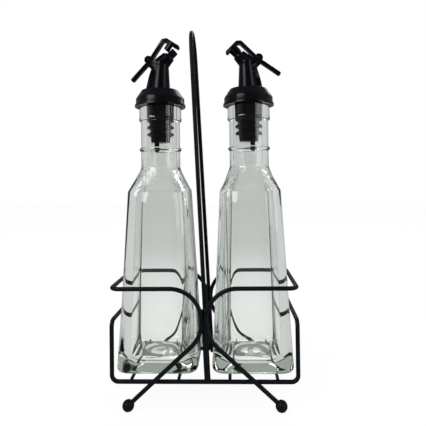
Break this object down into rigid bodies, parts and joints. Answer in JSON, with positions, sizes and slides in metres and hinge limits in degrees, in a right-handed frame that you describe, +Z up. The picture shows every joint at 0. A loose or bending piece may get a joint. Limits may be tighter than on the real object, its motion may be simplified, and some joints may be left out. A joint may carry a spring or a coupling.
{
  "type": "cruet set",
  "caption": "Tapered square glass bottles with flip-lever pourers, standing in a bent-wire rack with a tall loop handle and ball feet",
  "frame": {"origin": "on the table, midway between the four ball feet", "axes": "+X from the left bottle to the right one, +Y from the front of the rack to its back, +Z up"},
  "size_m": [0.1296, 0.072, 0.2679],
  "materials": {
    "wire_paint": "satin black powder coat",
    "bottle_glass": "clear, with a faint green tint",
    "pourer_plastic": "moulded, half gloss, black",
    "stopper_rubber": "soft, smooth, black"
  },
  "bodies": {
    "rack": {"left_hoop": "wire_paint", "right_hoop": "wire_paint", "base_frame": "wire_paint", "front_post": "wire_paint", "rear_post": "wire_paint", "handle_loop": "wire_paint", "left_outer_support": "wire_paint", "left_inner_support": "wire_paint", "right_inner_support": "wire_paint", "right_outer_support": "wire_paint", "left_front_foot": "wire_paint", "right_front_foot": "wire_paint", "left_rear_foot": "wire_paint", "right_rear_foot": "wire_paint"},
    "left_glass": {"left_bottle": "bottle_glass"},
    "right_glass": {"right_bottle": "bottle_glass"},
    "left_pourer": {"left_spout": "pourer_plastic", "left_stopper": "stopper_rubber", "left_air_tube": "pourer_plastic", "left_hinge_pin": "pourer_plastic"},
    "right_pourer": {"right_spout": "pourer_plastic", "right_stopper": "stopper_rubber", "right_air_tube": "pourer_plastic", "right_hinge_pin": "pourer_plastic"},
    "left_flap": {"left_lever": "pourer_plastic"},
    "right_flap": {"right_lever": "pourer_plastic"}
  },
  "joints": [
    {"name": "left_lift", "type": "slide", "parent": "rack", "child": "left_glass", "axis": [0.0454, 0, 0.999], "range_m": [0, 0.065]},
    {"name": "right_lift", "type": "slide", "parent": "rack", "child": "right_glass", "axis": [-0.0454, 0, 0.999], "range_m": [0, 0.065]},
    {"name": "left_pull", "type": "slide", "parent": "left_glass", "child": "left_pourer", "axis": [0, 0, 1], "range_m": [0, 0.06]},
    {"name": "right_pull", "type": "slide", "parent": "right_glass", "child": "right_pourer", "axis": [0, 0, 1], "range_m": [0, 0.06]},
    {"name": "left_flip", "type": "hinge", "parent": "left_pourer", "child": "left_flap", "pos_m": [-0.0413, 0, 0.24624], "axis": [0, -1, 0], "range_deg": [-12, 23]},
    {"name": "right_flip", "type": "hinge", "parent": "right_pourer", "child": "right_flap", "pos_m": [0.0413, 0, 0.24624], "axis": [0, 1, 0], "range_deg": [0, 35]}
  ]
}
